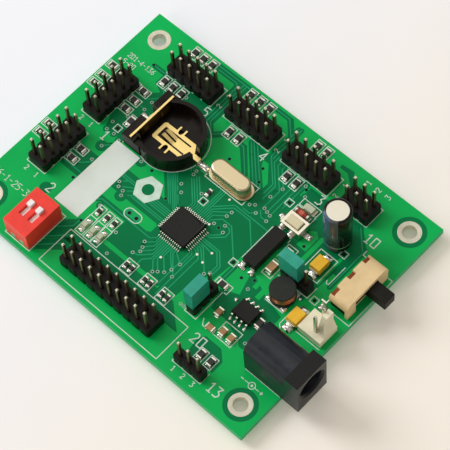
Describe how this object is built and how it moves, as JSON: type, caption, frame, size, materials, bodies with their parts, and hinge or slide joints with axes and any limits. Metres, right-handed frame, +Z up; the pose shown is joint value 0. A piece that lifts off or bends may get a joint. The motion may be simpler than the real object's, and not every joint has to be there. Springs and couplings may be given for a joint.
{
  "type": "microcontroller development board",
  "caption": "Green development board with pin-header ports, coin-cell holder, DIP and slide switches, reset button, jumpers, supply jack and battery connector.",
  "frame": {"origin": "centre of the four mounting holes, on the board's underside", "axes": "+X along the long edge towards the supply jack, +Y along the short edge towards the power header, +Z up out of the component side"},
  "size_m": [0.0853, 0.0608, 0.0159],
  "materials": {
    "solder_mask": "glossy green solder mask over glass-fibre board",
    "header_plastic": "matt black moulding",
    "gold_pin": "thin gold plating, worn bright",
    "shunt_plastic": "teal moulding, slightly glossy",
    "holder_plastic": "brown-black moulding",
    "spring_gold": "gold-plated spring strip",
    "can_steel": "plain drawn steel",
    "package_black": "matt moulding compound",
    "tin": "tinned, bright",
    "ferrite": "matt dark ferrite",
    "copper_wire": "enamelled copper wire",
    "can_aluminium": "drawn aluminium",
    "sleeve": "dark shrink sleeve with a pale stripe",
    "tantalum_yellow": "orange-yellow moulding",
    "resistor_black": "black glaze",
    "capacitor_tan": "matt tan ceramic",
    "led_base": "white laminate",
    "led_lens": "clear epoxy",
    "diode_glass": "red-tinted glass",
    "dip_red": "red moulding, semi-gloss",
    "actuator_white": "white moulding",
    "button_frame": "plain stamped frame",
    "button_cap": "beige moulding",
    "switch_cream": "tan moulding",
    "switch_laminate": "red-brown laminate",
    "lever_black": "black moulding",
    "connector_ivory": "ivory moulding",
    "jack_black": "black moulding, semi-gloss"
  },
  "bodies": {
    "board": {"circuit_board": "solder_mask", "port_1_header_base": "header_plastic", "port_2_header_base": "header_plastic", "port_3_header_base": "header_plastic", "port_4_header_base": "header_plastic", "port_5_header_base": "header_plastic", "port_header_pins": "gold_pin", "power_header_base": "header_plastic", "power_header_pins": "gold_pin", "debug_header_base": "header_plastic", "debug_header_pins": "gold_pin", "serial_header_base": "header_plastic", "serial_header_pins": "gold_pin", "jumper_header_bases": "header_plastic", "jumper_header_pins": "gold_pin", "coin_cell_holder_body": "holder_plastic", "coin_cell_side_contact": "spring_gold", "coin_cell_floor_contact": "spring_gold", "crystal_can": "can_steel", "crystal_base": "can_steel", "mcu_body": "package_black", "mcu_leads": "tin", "regulator_body": "package_black", "regulator_leads": "tin", "inductor_core": "ferrite", "inductor_winding": "copper_wire", "inductor_terminals": "tin", "electrolytic_can": "can_aluminium", "electrolytic_sleeve": "sleeve", "electrolytic_leads": "tin", "tantalum_bodies": "tantalum_yellow", "tantalum_terminals": "tin", "chip_resistor_bodies": "resistor_black", "chip_capacitor_bodies": "capacitor_tan", "chip_end_caps": "tin", "led_bases": "led_base", "led_lenses": "led_lens", "glass_diode_body": "diode_glass", "watch_crystal_body": "package_black", "watch_crystal_leads": "tin", "dip_switch_housing": "dip_red", "dip_switch_pins": "tin", "reset_button_frame": "button_frame", "reset_button_terminals": "tin", "slide_switch_housing": "switch_cream", "slide_switch_terminal_plate": "switch_laminate", "slide_switch_terminals": "tin", "battery_connector_housing": "connector_ivory", "battery_connector_pins": "tin", "dc_jack_housing": "jack_black", "dc_jack_centre_pin": "tin", "dc_jack_contacts": "tin"},
    "dip_slider_1": {"dip_actuator_1": "actuator_white"},
    "dip_slider_2": {"dip_actuator_2": "actuator_white"},
    "reset_plunger": {"reset_button_plunger": "button_cap"},
    "switch_lever": {"slide_switch_lever": "lever_black"},
    "jumper_cap_1": {"jumper_shunt_1": "shunt_plastic", "jumper_contact_1": "gold_pin"},
    "jumper_cap_2": {"jumper_shunt_2": "shunt_plastic", "jumper_contact_2": "gold_pin"}
  },
  "joints": [
    {"name": "switch_lever_slide", "type": "slide", "parent": "board", "child": "switch_lever", "axis": [0, -1, 0], "range_m": [0, 0.0035]},
    {"name": "dip_slide_1", "type": "slide", "parent": "board", "child": "dip_slider_1", "axis": [0, -1, 0], "range_m": [0, 0.002]},
    {"name": "dip_slide_2", "type": "slide", "parent": "board", "child": "dip_slider_2", "axis": [0, -1, 0], "range_m": [0, 0.002]},
    {"name": "reset_press", "type": "slide", "parent": "board", "child": "reset_plunger", "axis": [0, 0, -1], "range_m": [0, 0.00025], "stiffness_N_per_m": 400, "springref_m": -0.0004},
    {"name": "jumper_pull_1", "type": "slide", "parent": "board", "child": "jumper_cap_1", "axis": [0, 0, 1], "range_m": [0, 0.0055]},
    {"name": "jumper_pull_2", "type": "slide", "parent": "board", "child": "jumper_cap_2", "axis": [0, 0, 1], "range_m": [0, 0.0055]}
  ]
}
